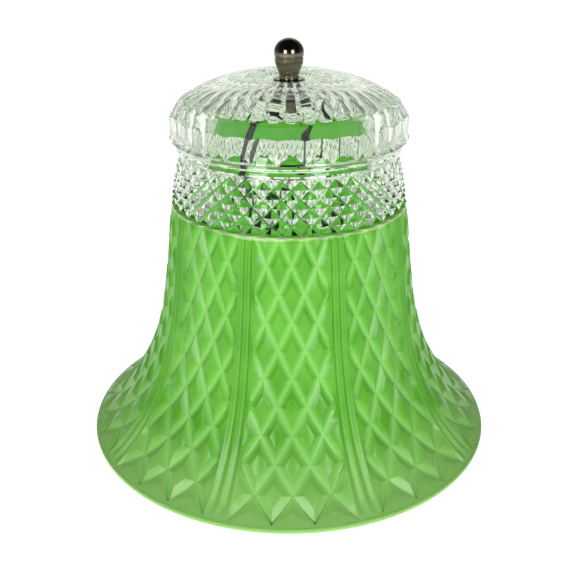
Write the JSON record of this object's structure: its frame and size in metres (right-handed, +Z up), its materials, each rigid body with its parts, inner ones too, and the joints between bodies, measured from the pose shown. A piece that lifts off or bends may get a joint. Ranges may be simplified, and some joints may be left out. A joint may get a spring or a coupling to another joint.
{
  "type": "bell-shaped glass lamp shade",
  "caption": "Bell-shaped pressed-glass lamp shade on a small lamp harp, clamped under a turned metal finial.",
  "frame": {"origin": "centre of the circle that the rim of the shade stands on", "axes": "+Z up the shade's axis to the finial, X along the harp's two arms, Y across them"},
  "size_m": [0.24, 0.24, 0.2285],
  "materials": {
    "pressed_glass": "pressed glass, clear above, satin green below the waist line",
    "nickel_plate": "polished, slightly warm",
    "black_felt": "matt felt",
    "harp_steel": "satin plated wire"
  },
  "bodies": {
    "shade": {"glass_bell": "pressed_glass"},
    "harp": {"seat_cushion": "black_felt", "seat_disc": "nickel_plate", "seat_nut": "nickel_plate", "harp_stud": "nickel_plate", "harp_crown": "nickel_plate", "harp_wire": "harp_steel", "harp_saddle": "harp_steel"},
    "washer": {"finial_washer": "black_felt"},
    "finial": {"finial_knob": "nickel_plate"},
    "left_sleeve": {"left_lock_sleeve": "nickel_plate"},
    "right_sleeve": {"right_lock_sleeve": "nickel_plate"}
  },
  "joints": [
    {"name": "harp_turn", "type": "hinge", "parent": "shade", "child": "harp", "pos_m": [0, 0, 0.2], "axis": [0, 0, 1], "continuous": true},
    {"name": "finial_rise", "type": "slide", "parent": "harp", "child": "washer", "axis": [0, 0, 1], "range_m": [0, 0.0096]},
    {"name": "finial_spin", "type": "hinge", "parent": "washer", "child": "finial", "pos_m": [0, 0, 0.2056], "axis": [0, 0, 1], "range_deg": [0, 3600]},
    {"name": "left_sleeve_lift", "type": "slide", "parent": "harp", "child": "left_sleeve", "axis": [0, 0, 1], "range_m": [0, 0.012]},
    {"name": "right_sleeve_lift", "type": "slide", "parent": "harp", "child": "right_sleeve", "axis": [0, 0, 1], "range_m": [0, 0.012]}
  ],
  "couplings": [
    {"joint": "finial_rise", "follows": "finial_spin", "m_per_rad": 0.00014972}
  ]
}
